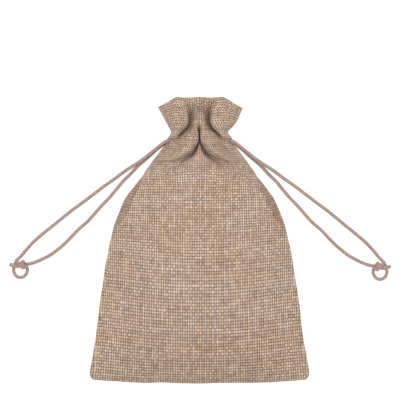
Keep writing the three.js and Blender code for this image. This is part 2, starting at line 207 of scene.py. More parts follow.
def build_rows(front):
    """Rows of the gathered panel from the bottom seam to the mouth: X, Y and Z at the features."""
    ua = U_AT if front else np.concatenate([np.linspace(0, 47, 9), [51.5, 54.5, 57.5, 60, 62, 63.6, 65]])
    r = ua / 65.0
    rows = []
    for y in [-84.75, -84.3, -83.6, -82.4, -80.5, -77, -72, -66, -58, -48, -38, -28, -18, -8, 0, 4.5, 8, 12, 16, 20, 25, 30, 34.5, 38, 41]:
        w = float(half_width(y)[0]) - float(seam_inset(y)[0])
        e = float(seam_height(y)[0])
        x = w * r
        if front:
            # the columns begin to bunch before they reach the neck
            bunch = float(smooth(27, 46, y))
            x = w * ((1 - bunch) * r + bunch * np.array(NECK[0][1]) / NECK[0][1][-1])
            c = float(crown(y)[0])
            z = e + (c - e) * (1 - r ** (2.3 - 0.3 * float(smooth(-20, 5, y)) + 0.9 * float(smooth(26, 43, y))))
        else:
            # the back rolls out past the seam at the shoulders before it goes under
            inset = float(seam_inset(y)[0])
            part = float(smooth(-16, 12, y) * (1 - smooth(31, 44, y)))
            t = np.clip((r - 0.78) / 0.22, 0, 1)
            turn = np.sin(np.pi * t ** 1.6)
            x = x + (0.9227 * inset + 0.0773 * w * part) * turn
            rise = np.where(t > 0.648, 0.27 + 0.73 * (1 - turn) ** 0.9, 0.27 * (t / 0.648) ** 2)
            z = e * ((1 - part) * smooth(0.52, 1.0, r) ** 1.15 + part * rise)
        rows.append((x, np.full(16, float(y)), z))
    line = (MOUTH_FRONT if front else MOUTH_BACK)(r)
    for row in NECK if front else BACK_NECK:
        y = row[0]
        even = np.linspace(0, 65, 16)
        x = np.array(row[1], float) if front else float(header_half(y)[0]) * r
        z = np.array(row[-1], float) if front else hermite(even, row[-1], ua)
        rows.append((x, y + line * smooth(56, 82.7, y), z))
    return ua, np.array(rows)


def build_sheet(front, nu, nv):
    ua, rows = build_rows(front)
    # height along the cloth, from the mean length of its threads
    d = np.sqrt(np.diff(rows[:, 1], axis=0) ** 2 + 0.6 * np.diff(rows[:, 2], axis=0) ** 2)[:, [0, 1, 2, 6, 7, 12, 13]].mean(1)
    v = np.concatenate([[0], np.cumsum(d)])
    v *= FLAT_H / v[-1]
    vs = np.linspace(0, FLAT_H, nv + 1)
    fine = hermite(v, rows, vs, monotone=False)
    us = np.linspace(-65, 65, nu + 1)
    P = np.zeros((nv + 1, nu + 1, 3))
    for c in range(3):
        P[..., c] = hermite(ua, fine[:, c].T, np.abs(us)).T
    P[..., 0] *= np.sign(us)
    return us, vs, P


NU = 252
NV = 280
us, vs, FRONT = build_sheet(True, NU, NV)
_, _, BACK = build_sheet(False, NU, NV)


def blur(A, n, axis):
    for _ in range(n):
        lo = np.take(A, [0] + list(range(A.shape[axis] - 1)), axis=axis)
        hi = np.take(A, list(range(1, A.shape[axis])) + [A.shape[axis] - 1], axis=axis)
        B = 0.25 * lo + 0.5 * A + 0.25 * hi
        ends = [slice(None)] * A.ndim
        ends[axis] = 0
        B[tuple(ends)] = A[tuple(ends)]
        ends[axis] = -1
        B[tuple(ends)] = A[tuple(ends)]
        A = B
    return A


FRONT = blur(blur(FRONT, 3, 0), 2, 1)
BACK = blur(blur(BACK, 4, 0), 4, 1)
UU, VV = np.meshgrid(us, vs)

# where the threads run: lengths along each row from the middle, and up each column from the bottom
PITCH_U = 1.44
pitch_v = 1.90 - 0.24 * smooth(58, 92, vs)


def thread_map(P):
    du = np.linalg.norm(np.diff(P, axis=1), axis=-1)
    s = np.concatenate([np.zeros((len(P), 1)), np.cumsum(du, axis=1)], 1)
    s -= s[:, NU // 2][:, None]
    dv = np.linalg.norm(np.diff(P, axis=0), axis=-1)
    pm = 0.5 * (pitch_v[1:] + pitch_v[:-1])[:, None]
    t = np.concatenate([np.zeros((1, P.shape[1])), np.cumsum(dv / pm, axis=0)], 0)
    s = blur(blur(s, 12, 0), 2, 1)
    t = blur(blur(t, 6, 0), 16, 1)
    # the gathers bunch the cloth sideways only: every column has the same number of crossings
    mean = t.mean(axis=1, keepdims=True)
    straight = smooth(40, 150, vs)[:, None]
    t = mean + (t - mean) * (1 - 0.72 * straight)
    return s / PITCH_U + 50.0, t


FRONT_T = thread_map(FRONT)
BACK_T = thread_map(BACK)


def soften(P, front):
    """Slack, wrinkles and puckers that the plain sections don't have."""
    P = P.copy()
    r = np.abs(UU) / 65
    inside = (1 - r ** 8) * smooth(0, 6, VV)
    body = 1 - smooth(112, 140, VV)
    s = 1 if front else -1
    k = 3 if front else 11
    z = 0.55 * value_noise(UU / 31 + 5, VV / 38 + 3, k) + 0.30 * value_noise(UU / 13 + 9, VV / 19, k + 1)
    z = z + 0.13 * value_noise(UU / 6.0, VV / 8.0, k + 2)
    P[..., 2] += s * z * inside * (0.20 + 0.80 * body) * (1.0 if front else 0.35)
    # soft pleats that run down from the neck and fade
    fan = smooth(84, 124, VV) * (1 - smooth(128, 138, VV))
    P[..., 2] += s * fan * inside * 0.45 * np.cos(UU / 65 * math.pi * 5.5 + 0.7 * value_noise(UU / 20, VV / 30, 21)) * (1 if front else 0.3)
    # small puckers along the bottom seam
    low = np.exp(-VV / 7.0)
    P[..., 1] += low * 0.35 * value_noise(UU / 11.0 + 2, VV * 0, 31)
    P[..., 1] += np.exp(-VV / 22.0) * (1.0 * r ** 2 - 0.9 * (1 - r ** 2))
    P[..., 2] += s * low * smooth(0, 2, VV) * 0.35 * np.cos(UU / 3.6 + 2 * value_noise(UU / 14, VV * 0, 33)) * (1 - r ** 8)
    # the stitching draws the edge in
    P[..., 2] -= s * 0.9 * smooth(0.972, 1.0, r) * smooth(80, 92, VV) * (1 - smooth(122, 130, VV)) * (1.0 if front else -1.0)
    # ripples of the outline
    side = smooth(0.86, 1.0, r) * smooth(6, 20, VV) * (1 - smooth(130, 142, VV))
    P[..., 0] += np.sign(UU) * side * 0.25 * value_noise(VV / 9.0 + 40 * (UU > 0), UU * 0, 35)
    # nothing is quite the same left and right
    neck = smooth(128, 142, VV)
    P[..., 0] += neck * 0.35 * value_noise(VV / 16.0 + 3, UU / 40.0, 41)
    P[..., 2] += s * neck * 0.35 * value_noise(UU / 11.0, VV / 9.0, 43) * (1 - r ** 8)
    # sections are laid out as seen from overhead at the height of the seam; nearer parts look bigger
    k = (662.2 + 8.0 - P[..., 2]) / 662.2
    P[..., 0] = 0.3 + (P[..., 0] - 0.3) * k
    P[..., 1] = 23.4 + (P[..., 1] - 23.4) * k
    if not front:
        P[..., 2] = np.maximum(P[..., 2], 0.45 + 0.25 * np.clip(P[..., 2], -2, 0.6))
    return P


FRONT = soften(FRONT, True)
BACK = soften(BACK, False)


def grid_normals(P, up):
    du = np.gradient(P, axis=1)
    dv = np.gradient(P, axis=0)
    n = np.cross(du, dv)
    n /= np.maximum(np.linalg.norm(n, axis=-1, keepdims=True), 1e-9)
    return n * (1 if up else -1)


def weave_relief(U, V):
    a, b = np.sin(np.pi * U) ** 2, np.sin(np.pi * V) ** 2
    return 0.75 * (np.maximum(a, b) - 1.0) - 0.25 * (1.0 - a)


# the header is lopsided: its right side stands further out, and the lobes' corners hang a little
HEADER_OUT = ([61, 64.5, 66.5, 69, 72, 75.8, 78.2, 81, 84], [0, 0.5, 1.6, 2.3, 2.2, 1.7, 1.2, 0.9, 0.9])


def lopsided(verts):
    x, y = verts[:, 0], verts[:, 1]
    out = smooth(8, 20, x) * np.interp(y, *HEADER_OUT)
    down = (1.2 * smooth(12, 24, x) + 0.7 * smooth(12, 24, -x)) * smooth(74, 80, y)
    return verts + np.stack([out, -down, 0 * x], -1)


def make_mesh(name, verts, quads, tris, uv_of_vert, smooth_shade=True, uv_name="cloth"):
    me = bpy.data.meshes.new(name)
    verts = np.asarray(verts, np.float32)
    if name.startswith(("front_", "back_", "left_header_", "right_header_")):
        verts = lopsided(verts)
    quads = np.asarray(quads, np.int64).reshape(-1, 4)
    tris = np.asarray(tris, np.int64).reshape(-1, 3)
    me.vertices.add(len(verts))
    me.vertices.foreach_set("co", (verts * MM).ravel())
    nl = len(quads) * 4 + len(tris) * 3
    me.loops.add(nl)
    loops = np.concatenate([quads.ravel(), tris.ravel()])
    me.loops.foreach_set("vertex_index", loops)
    me.polygons.add(len(quads) + len(tris))
    starts = np.concatenate([np.arange(len(quads)) * 4, len(quads) * 4 + np.arange(len(tris)) * 3])
    me.polygons.foreach_set("loop_start", starts)
    me.polygons.foreach_set("use_smooth", np.full(len(quads) + len(tris), smooth_shade))
    me.update(calc_edges=True)
    if uv_of_vert is not None:
        layer = me.uv_layers.new(name=uv_name)
        layer.data.foreach_set("uv", np.asarray(uv_of_vert, np.float32)[loops].ravel())
    me.validate()
    ob = bpy.data.objects.new(name, me)
    scene.collection.objects.link(ob)
    return ob


CLOTH_T = 0.55


def hem_layer(P, T, front):
    """The turned-in layer: the same cloth folded in at the mouth, reaching back down past the casing."""
    nh = 46
    vh = FLAT_H - np.linspace(0, HEM, nh + 1)
    s = 1 if front else -1
    calm = blur(blur(P, 6, 0), 6, 1)
    N = grid_normals(calm, True) * s
    H, M, TU, TV = (np.stack([hermite(vs, A[..., c], vh, monotone=False) for c in range(A.shape[-1])], -1)
                    for A in (P, N, T[0][..., None], T[1][..., None]))
    M /= np.maximum(np.linalg.norm(M, axis=-1, keepdims=True), 1e-9)
    channel = smooth(149.5, 153.5, vh) * (1 - smooth(160.5, 164.5, vh))
    gap = (2 * CLOTH_T + 0.12 + 1.75 * channel)[:, None] * np.ones(NU + 1)
    ends = smooth(0.93, 1.0, np.abs(us) / 65.0)[None, :]
    gap = gap * (1 - 0.35 * ends)
    H = H - M * gap[..., None]
    H[..., 0] *= 1 - 0.012 * ends
    return vh, H, TU[..., 0], TV[..., 0]


def sheet_mesh(name, P, T, front):
    """Closed thin cloth: fine outer face with the weave's relief, fold at the mouth, hem layer inside."""
    vh, H, HU, HV = hem_layer(P, T, front)
    # path of the cloth: outer rows up, fold, hem rows down
    top, htop = P[-1], H[0]
    mid = (top + htop) / 2
    half = (top - htop) / 2
    fold = []
    for a in (36, 72, 108, 144):
        t = math.radians(a)
        f = mid + half * math.cos(t)
        f[:, 1] += np.linalg.norm(half, axis=1) * math.sin(t)
        fold.append(f)
    fold = np.array(fold)
    G = np.concatenate([P, fold, H], 0)
    steps = np.array([0.22, 0.45, 0.67, 0.9])[:, None]
    U = np.concatenate([T[0], np.repeat(T[0][-1:], 4, 0), HU], 0)
    V = np.concatenate([T[1], T[1][-1:] + steps, 2 * T[1][-1:] + 1.1 - HV], 0)
    N = grid_normals(G, True)
    if not front:
        N = -N
    # N points out of the pouch on the outer rows and into it on the hem rows
    ui = np.broadcast_to(us[None, :], U.shape)
    n_rows = np.arange(len(G))[:, None] * np.ones(NU + 1)
    relief = weave_relief(U, V) * 0.30
    edge = smooth(0, 1.2, 65 - np.abs(ui)) * smooth(0, 2, n_rows) * smooth(0, 2, len(G) - 1 - n_rows)
    outer = G + N * (relief * edge)[..., None]
    nr, nc = G.shape[:2]
    # the other face, every third line
    ri = np.unique(np.concatenate([np.arange(0, nr, 2), [nr - 1]]))
    ci = np.arange(0, nc, 3)
    inner = (G - N * CLOTH_T)[np.ix_(ri, ci)]
    verts = np.concatenate([outer.reshape(-1, 3), inner.reshape(-1, 3)])
    n_out = nr * nc
    idx = np.arange(n_out).reshape(nr, nc)
    quads = np.stack([idx[:-1, :-1], idx[:-1, 1:], idx[1:, 1:], idx[1:, :-1]], -1).reshape(-1, 4)
    jdx = n_out + np.arange(len(ri) * len(ci)).reshape(len(ri), len(ci))
    quads_in = np.stack([jdx[:-1, :-1], jdx[1:, :-1], jdx[1:, 1:], jdx[:-1, 1:]], -1).reshape(-1, 4)
    tris = []

    def strip(fine, coarse, pos, rev):
        """Joins a fine edge to a coarse one; pos are the coarse points' places on the fine one."""
        for k in range(len(coarse) - 1):
            a, b = coarse[k], coarse[k + 1]
            lo, hi = pos[k], pos[k + 1]
            m = (lo + hi + 1) // 2
            for q in range(lo, hi):
                c = a if q < m else b
                t = (fine[q], fine[q + 1], c)
                tris.append(t[::-1] if rev else t)
            t = (fine[m], b, a)
            tris.append(t[::-1] if rev else t)

    strip(idx[0], jdx[0], ci, True)
    strip(idx[-1], jdx[-1], ci, False)
    strip(idx[:, 0], jdx[:, 0], ri, False)
    strip(idx[:, -1], jdx[:, -1], ri, True)
    # painted shade: darker on the rolled shoulder strip and along the header's seam line, where shade falls
    r, y = np.abs(ui) / 65, G[..., 1]
    if front:
        seam_shade = 0.75 * smooth(0.978, 0.992, r) * smooth(4, 12, y) * (1 - smooth(33, 40, y))
        seam_shade = seam_shade + 0.60 * np.exp(-((r - 0.935) / 0.014) ** 2) * smooth(66, 69, y) * (1 - smooth(78, 81, y))
    else:
        seam_shade = 0.62 * smooth(0.80, 0.97, r) * smooth(-14, 18, y) * (1 - smooth(24, 50, y))
    seam_shade = seam_shade * (n_rows < len(P))
    uv = np.stack([U, V], -1)
    q = np.concatenate([quads, quads_in])
    t = np.array(tris)
    if not front:
        q, t = q[:, ::-1], t[:, ::-1]
    ob = make_mesh(name, verts, q, t, np.concatenate([uv.reshape(-1, 2), uv[np.ix_(ri, ci)].reshape(-1, 2)]))
    # the painted shade is kept on the outer face's points for the material to read
    level = np.zeros(len(verts), np.float32)
    level[:n_out] = seam_shade.ravel()
    ob.data.attributes.new("painted_seam_shade", "FLOAT", "POINT").data.foreach_set("value", level)
    return ob


front_cloth = sheet_mesh("front_cloth", FRONT, FRONT_T, True)
back_cloth = sheet_mesh("back_cloth", BACK, BACK_T, False)


# ------------------------------------------------------------------ materials
def srgb(r, g, b):
    f = lambda c: (c / 255 / 12.92) if c / 255 <= 0.04045 else ((c / 255 + 0.055) / 1.055) ** 2.4
    return (f(r), f(g), f(b), 1.0)


LIGHT = 1.02


def dye(r, g, b):
    """A cloth or cord colour, allowing for how bright the scene is lit."""
    c = srgb(r, g, b)
    return (c[0] * LIGHT, c[1] * LIGHT, c[2] * LIGHT, 1.0)


class Nodes:
    """Short names for building a node tree."""

    def __init__(self, material):
        material.use_nodes = True
        self.t = material.node_tree
        self.t.nodes.clear()

    def new(self, kind, **props):
        n = self.t.nodes.new(kind)
        for k, v in props.items():
            setattr(n, k, v)
        return n

    def put(self, socket, value):
        if isinstance(value, bpy.types.NodeSocket):
            self.t.links.new(value, socket)
        elif value is not None:
            socket.default_value = value

    def math(self, op, a, b=None, c=None, clamp=False):
        n = self.new("ShaderNodeMath", operation=op, use_clamp=clamp)
        for s, v in zip(n.inputs, (a, b, c)):
            self.put(s, v)
        return n.outputs[0]

    def mix(self, f, a, b, blend="MIX"):
        n = self.new("ShaderNodeMix", data_type="RGBA", blend_type=blend)
        self.put(n.inputs["Factor"], f)
        self.put(n.inputs[6], a)
        self.put(n.inputs[7], b)
        return n.outputs[2]

    def vec(self, x=0.0, y=0.0, z=0.0):
        n = self.new("ShaderNodeCombineXYZ")
        for s, v in zip(n.inputs, (x, y, z)):
            self.put(s, v)
        return n.outputs[0]

    def noise(self, vector, scale=1.0, detail=2.0, rough=0.5):
        n = self.new("ShaderNodeTexNoise", noise_dimensions="3D")
        self.put(n.inputs["Vector"], vector)
        n.inputs["Scale"].default_value = scale
        n.inputs["Detail"].default_value = detail
        n.inputs["Roughness"].default_value = rough
        return n.outputs["Fac"]

    def white(self, vector):
        n = self.new("ShaderNodeTexWhiteNoise", noise_dimensions="3D")
        self.put(n.inputs["Vector"], vector)
        return n.outputs["Value"]

    def ramp(self, v, lo, hi, out_lo=0.0, out_hi=1.0, smooth_step=True):
        n = self.new("ShaderNodeMapRange", interpolation_type="SMOOTHSTEP" if smooth_step else "LINEAR")
        self.put(n.inputs[0], v)
        for s, x in zip(n.inputs[1:5], (lo, hi, out_lo, out_hi)):
            self.put(s, x)
        return n.outputs[0]


def cloth_material(name, turned=False):
    m = bpy.data.materials.new(name)
    g = Nodes(m)
    uv = g.new("ShaderNodeUVMap", uv_map="cloth").outputs[0]
    sep = g.new("ShaderNodeSeparateXYZ")
    g.put(sep.inputs[0], uv)
    U, V = sep.outputs[0], sep.outputs[1]
    # threads wander a little
    wu = g.noise(g.vec(g.math("MULTIPLY", U, 0.8), g.math("MULTIPLY", V, 0.07), 3.1), 1.0, 2.0)
    wv = g.noise(g.vec(g.math("MULTIPLY", U, 0.07), g.math("MULTIPLY", V, 0.8), 9.7), 1.0, 2.0)
    U = g.math("ADD", U, g.math("MULTIPLY", g.math("SUBTRACT", wu, 0.5), 0.40))
    V = g.math("ADD", V, g.math("MULTIPLY", g.math("SUBTRACT", wv, 0.5), 0.40))
    i, j = g.math("FLOOR", U), g.math("FLOOR", V)
    fu = g.math("SUBTRACT", g.math("SUBTRACT", U, i), 0.5)
    fv = g.math("SUBTRACT", g.math("SUBTRACT", V, j), 0.5)
    par = g.math("MODULO", g.math("ABSOLUTE", g.math("ADD", i, j)), 2.0)
    sgn = g.math("SUBTRACT", g.math("MULTIPLY", g.math("GREATER_THAN", par, 0.5), 2.0), 1.0)
    # thick and thin places along each thread
    slub_u = g.noise(g.vec(g.math("MULTIPLY", i, 5.37), g.math("MULTIPLY", V, 0.21), 1.7), 1.0, 3.0, 0.6)
    slub_v = g.noise(g.vec(g.math("MULTIPLY", U, 0.21), g.math("MULTIPLY", j, 5.37), 7.7), 1.0, 3.0, 0.6)
    width_u = g.ramp(slub_u, 0.25, 0.75, 0.23, 0.37)
    width_v = g.ramp(slub_v, 0.25, 0.75, 0.34, 0.48)
    au, av = g.math("ABSOLUTE", fu), g.math("ABSOLUTE", fv)

    def profile(a, w):
        q = g.math("DIVIDE", a, w)
        return g.math("SQRT", g.math("MAXIMUM", g.math("SUBTRACT", 1.0, g.math("MULTIPLY", q, q)), 0.0))

    pu, pv = profile(au, width_u), profile(av, width_v)
    cu = g.math("COSINE", g.math("MULTIPLY", fv, math.pi))
    cv = g.math("COSINE", g.math("MULTIPLY", fu, math.pi))
    hu = g.math("ADD", 0.30, g.math("MULTIPLY", g.math("MULTIPLY", sgn, cu), 0.28))
    hv = g.math("SUBTRACT", 0.30, g.math("MULTIPLY", g.math("MULTIPLY", sgn, cv), 0.28))
    zu = g.math("MULTIPLY", pu, g.math("ADD", hu, 0.42))
    dip = g.math("MULTIPLY", g.math("SUBTRACT", 1.0, cv), 0.16)
    zv = g.math("MULTIPLY", pv, g.math("SUBTRACT", g.math("ADD", hv, 0.42), dip))
    warp_top = g.math("GREATER_THAN", zu, zv)
    height = g.math("MAXIMUM", zu, zv)

    # colour of each thread, along it, and from crossing to crossing
    spot = g.white(g.vec(i, j, 2.5))

    def thread_colour(idx, along, seed, slub):
        per = g.white(g.vec(idx, seed, 0.5))
        run = g.noise(g.vec(g.math("MULTIPLY", idx, 3.71), g.math("MULTIPLY", along, 0.33), seed), 1.0, 3.0, 0.65)
        light = g.math("ADD", g.math("MULTIPLY", per, 0.16), g.math("MULTIPLY", run, 0.62))
        light = g.math("ADD", light, g.math("MULTIPLY", spot, 0.30))
        light = g.math("ADD", light, g.math("MULTIPLY", g.math("SUBTRACT", slub, 0.5), 0.35))
        light = g.ramp(light, 0.22, 0.86)
        hue = g.white(g.vec(idx, seed + 4.0, 1.5))
        hue_run = g.noise(g.vec(g.math("MULTIPLY", idx, 1.93), g.math("MULTIPLY", along, 0.15), seed + 8.0), 1.0, 2.0)
        hue = g.math("ADD", g.math("MULTIPLY", hue, 0.35), g.math("MULTIPLY", hue_run, 0.95))
        hue = g.ramp(hue, 0.32, 0.92)
        dark = g.mix(hue, dye(180, 163, 150), dye(192, 158, 134))
        pale = g.mix(hue, dye(230, 217, 204), dye(234, 212, 190))
        return g.mix(light, dark, pale)

    cw = thread_colour(i, V, 2.3, slub_u)
    cf = thread_colour(j, U, 6.1, slub_v)
    c = g.mix(warp_top, cf, cw)
    # broad patches, warmer or greyer
    patch = g.noise(g.vec(g.math("MULTIPLY", U, 0.045), g.math("MULTIPLY", V, 0.045), 5.0), 1.0, 3.0, 0.6)
    c = g.mix(g.ramp(patch, 0.35, 0.68, 0.0, 0.26), c, g.mix(1.0, c, srgb(250, 224, 200), "MULTIPLY"))
    # fibres along each thread
    fib_u = g.noise(g.vec(g.math("MULTIPLY", U, 11.0), g.math("MULTIPLY", V, 1.6), 2.0), 1.0, 2.0)
    fib_v = g.noise(g.vec(g.math("MULTIPLY", U, 1.6), g.math("MULTIPLY", V, 11.0), 4.0), 1.0, 2.0)
    fibre = g.math("ADD", g.math("MULTIPLY", warp_top, fib_u), g.math("MULTIPLY", g.math("SUBTRACT", 1.0, warp_top), fib_v))
    c = g.mix(g.ramp(fibre, 0.30, 0.70, 0.28, 0.0), c, g.mix(1.0, c, srgb(196, 176, 158), "MULTIPLY"))
    # painted shade on the rolled shoulder strip and along the header's seam line
    painted_seam_shade = g.new("ShaderNodeAttribute", attribute_name="painted_seam_shade").outputs["Fac"]
    c = g.mix(g.math("MULTIPLY", painted_seam_shade, 0.85), c, g.mix(1.0, c, srgb(206, 184, 166), "MULTIPLY"))
    # painted shade: dark between the threads and where one dips under the other
    c = g.mix(g.ramp(height, 0.20, 0.78, 0.97, 0.0), c, dye(84, 58, 40))
    bsdf = g.new("ShaderNodeBsdfPrincipled")
    g.put(bsdf.inputs["Base Color"], c)
    g.put(bsdf.inputs["Roughness"], g.ramp(height, 0.1, 0.8, 0.95, 0.72))
    bsdf.inputs["Specular IOR Level"].default_value = 0.70
    bsdf.inputs["Sheen Weight"].default_value = 0.12
    bsdf.inputs["Sheen Roughness"].default_value = 0.5
    bump = g.new("ShaderNodeBump")
    bump.inputs["Strength"].default_value = 0.75
    bump.inputs["Distance"].default_value = 0.00030
    g.put(bump.inputs["Height"], g.math("ADD", height, g.math("MULTIPLY", fibre, 0.10)))
    g.put(bsdf.inputs["Normal"], bump.outputs[0])
    out = g.new("ShaderNodeOutputMaterial")
    g.put(out.inputs[0], bsdf.outputs[0])
    return m


def cord_material(name, base, dark, uv_name="cord"):
    """Braided cord: the UV's x runs once round, its y along in mm."""
    m = bpy.data.materials.new(name)
    g = Nodes(m)
    sep = g.new("ShaderNodeSeparateXYZ")
    g.put(sep.inputs[0], g.new("ShaderNodeUVMap", uv_map=uv_name).outputs[0])
    A, S = sep.outputs[0], sep.outputs[1]
    zig = g.math("MULTIPLY", g.math("PINGPONG", g.math("MULTIPLY", A, 6.0), 0.5), 1.5)
    rib = g.math("ABSOLUTE", g.math("SINE", g.math("MULTIPLY", g.math("ADD", g.math("DIVIDE", S, 0.86), zig), math.pi)))
    strand = g.math("FLOOR", g.math("ADD", g.math("DIVIDE", S, 0.86), zig))
    fleck = g.white(g.vec(strand, g.math("FLOOR", g.math("MULTIPLY", A, 12.0)), 0.3))
    fibre = g.noise(g.vec(g.math("MULTIPLY", A, 40.0), g.math("MULTIPLY", S, 1.3), 1.0), 1.0, 3.0, 0.6)
    run = g.noise(g.vec(0.0, g.math("MULTIPLY", S, 0.22), 3.0), 1.0, 2.0)
    c = g.mix(g.ramp(run, 0.3, 0.7), base, dye(186, 166, 154))
    c = g.mix(g.math("MULTIPLY", fleck, 0.30), c, dye(210, 193, 182))
    c = g.mix(g.ramp(fibre, 0.35, 0.75, 0.0, 0.35), c, dark)
    # painted shade in the grooves between the braid's strands
    c = g.mix(g.ramp(rib, 0.0, 0.62, 0.85, 0.0), c, dark)
    bsdf = g.new("ShaderNodeBsdfPrincipled")
    g.put(bsdf.inputs["Base Color"], c)
    g.put(bsdf.inputs["Roughness"], g.ramp(rib, 0.0, 1.0, 0.9, 0.68))
    bsdf.inputs["Specular IOR Level"].default_value = 0.3
    bsdf.inputs["Sheen Weight"].default_value = 0.15
    bump = g.new("ShaderNodeBump")
    bump.inputs["Strength"].default_value = 0.7
    bump.inputs["Distance"].default_value = 0.00012
    g.put(bump.inputs["Height"], g.math("ADD", rib, g.math("MULTIPLY", fibre, 0.35)))
    g.put(bsdf.inputs["Normal"], bump.outputs[0])
    out = g.new("ShaderNodeOutputMaterial")
    g.put(out.inputs[0], bsdf.outputs[0])
    return m


CLOTH = cloth_material("woven_cloth")
CORD = cord_material("braided_cord", dye(186, 158, 148), dye(112, 86, 78))
THREAD = cord_material("sewing_thread", dye(190, 170, 152), dye(140, 118, 102))

for ob, node in ((front_cloth, "front_panel"), (back_cloth, "back_panel")):
    ob.data.materials.append(CLOTH)
    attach(ob, "pouch")
    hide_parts(node)


# ------------------------------------------------------------------ cords
def resample(points, step):
    """A smooth curve through points, even steps along it."""
    p = np.asarray(points, float)
    seg = np.linalg.norm(np.diff(p, axis=0), axis=1)
    t = np.concatenate([[0], np.cumsum(np.sqrt(seg))])
    fine = hermite(t, p, np.linspace(0, t[-1], 60 * len(p)), monotone=False)
    s = np.concatenate([[0], np.cumsum(np.linalg.norm(np.diff(fine, axis=0), axis=1))])
    n = max(4, int(round(s[-1] / step)))
    at = np.linspace(0, s[-1], n + 1)
    return np.stack([np.interp(at, s, fine[:, k]) for k in range(3)], -1), at


def frames(p):
    """Parallel-transported frames along a line."""
    t = np.gradient(p, axis=0)
    t /= np.linalg.norm(t, axis=1, keepdims=True)
    n = np.zeros_like(p)
    a = np.array([0, 0, 1.0]) if abs(t[0][2]) < 0.9 else np.array([1.0, 0, 0])
    a = a - t[0] * a.dot(t[0])
    n[0] = a / np.linalg.norm(a)
    for k in range(1, len(p)):
        a = n[k - 1] - t[k] * n[k - 1].dot(t[k])
        n[k] = a / np.linalg.norm(a)
    return t, n, np.cross(t, n)


def tube(name, points, radius, around=20, step=0.2, ribs=0.86, relief=0.07, caps=(True, True), start_s=0.0, taper=(0, 0)):
    """A closed tube along a smooth line with the raised chevrons of a braid."""
    p, s = resample(points, step)
    t, n, b = frames(p)
    th = np.arange(around) * 2 * np.pi / around
    A = th / (2 * np.pi)
    zig = np.abs(((A * 6.0) % 1.0) - 0.5) * 1.5
    S = s + start_s
    rib = np.abs(np.sin((S[:, None] / ribs + zig[None, :]) * np.pi))
    r = radius * (1 - relief + relief * 1.3 * rib ** 0.7)
    # round the ends over
    e0 = np.clip(s / (radius * 0.8), 0, 1) if caps[0] else np.ones_like(s)
    e1 = np.clip((s[-1] - s) / (radius * 0.8), 0, 1) if caps[1] else np.ones_like(s)
    shrink = np.sqrt(np.maximum(1 - (1 - e0) ** 2, 0.02)) * np.sqrt(np.maximum(1 - (1 - e1) ** 2, 0.02))
    r = r * shrink[:, None]
    ring = p[:, None, :] + r[..., None] * (np.cos(th)[None, :, None] * n[:, None, :] + np.sin(th)[None, :, None] * b[:, None, :])
    m = len(p)
    verts = np.concatenate([ring.reshape(-1, 3), p[:1], p[-1:]])
    idx = np.arange(m * around).reshape(m, around)
    nxt = np.roll(idx, -1, 1)
    quads = np.stack([idx[:-1], nxt[:-1], nxt[1:], idx[1:]], -1).reshape(-1, 4)
    c0, c1 = m * around, m * around + 1
    tris = [(c0, nxt[0, k], idx[0, k]) for k in range(around)] + [(c1, idx[-1, k], nxt[-1, k]) for k in range(around)]
    me_uv = np.concatenate([
        np.stack([np.broadcast_to(A[None, :], (m, around)), np.broadcast_to(S[:, None], (m, around))], -1).reshape(-1, 2),
        [[0.5, S[0]], [0.5, S[-1]]]])
    ob = make_mesh(name, verts, quads, tris, me_uv, uv_name="cord")
    # the loop edge that wraps round reads 1 rather than 0
    uv = ob.data.uv_layers["cord"].data
    co = np.zeros(len(uv) * 2, np.float32)
    uv.foreach_get("uv", co)
    co = co.reshape(-1, 2)
    nq = len(quads)
    wrap = np.zeros((nq, 4), bool)
    last = np.arange(nq) % around == around - 1
    wrap[last, 1] = True
    wrap[last, 2] = True
    sel = np.concatenate([wrap.ravel(), np.zeros(len(tris) * 3, bool)])
    if len(sel) == len(co):
        co[sel, 0] = 1.0
        uv.foreach_set("uv", co.ravel())
    return ob, p


UPPER = [
    [-18.0, 58.83, 11.2], [-20.6, 57.75, 11.0], [-23.2, 56.0, 9.6], [-26.23, 53.64, 7.2],
    [-29.64, 51.13, 5.0], [-33.41, 48.26, 3.8], [-37.48, 45.47, 3.0], [-41.58, 42.98, 2.0],
    [-45.97, 40.07, 1.2], [-50.33, 36.74, 1.0], [-57.2, 31.89, 1.0], [-63.57, 27.04, 1.0],
    [-69.83, 22.29, 1.0], [-76.5, 17.44, 1.0], [-82.57, 12.59, 1.0], [-88.53, 7.74, 1.0],
    [-94.59, 2.89, 1.0], [-99.95, -1.86, 1.0], [-103.99, -6.21, 1.0], [-106.71, -9.54, 1.05],
]
LOWER = [
    [-18.0, 58.83, 6.2], [-20.6, 57.75, 5.7], [-23.2, 55.7, 4.3], [-26.42, 53.24, 2.6],
    [-29.8, 50.16, 1.4], [-33.55, 46.95, 1.0], [-37.34, 43.61, 1.0], [-41.54, 39.06, 1.0],
    [-46.39, 34.31, 1.0], [-50.33, 29.46, 1.0], [-54.47, 24.61, 1.0], [-59.02, 19.86, 1.0],
    [-63.26, 15.01, 1.0], [-67.71, 10.16, 1.0], [-73.17, 5.41, 1.0], [-77.72, 0.56, 1.0],
    [-82.77, -4.29, 1.0], [-88.83, -9.04, 1.0], [-93.58, -11.67, 1.0], [-99.04, -14.09, 1.0],
    [-103.22, -15.18, 1.4],
]
# the upper strand passes the knot on its outside and turns back into it
LOOP = [
    [-106.71, -9.54, 1.05], [-107.9, -10.8, 1.05], [-109.55, -12.48, 1.0], [-110.76, -14.29, 1.0], [-111.67, -16.52, 1.0],
    [-111.97, -18.94, 1.0], [-111.27, -21.27, 1.0], [-109.55, -22.88, 1.0], [-107.43, -23.24, 1.0],
    [-105.41, -22.38, 1.0], [-104.09, -20.56, 1.0], [-103.64, -18.64, 1.0], [-103.95, -17.1, 1.5], [-104.8, -16.1, 2.2],
]
TAIL = [
    [-107.6, -15.9, 2.7], [-109.2, -16.3, 3.0], [-110.9, -16.25, 3.1], [-112.6, -15.75, 2.8], [-114.2, -15.1, 2.4],
]
LEAD = math.radians(15)


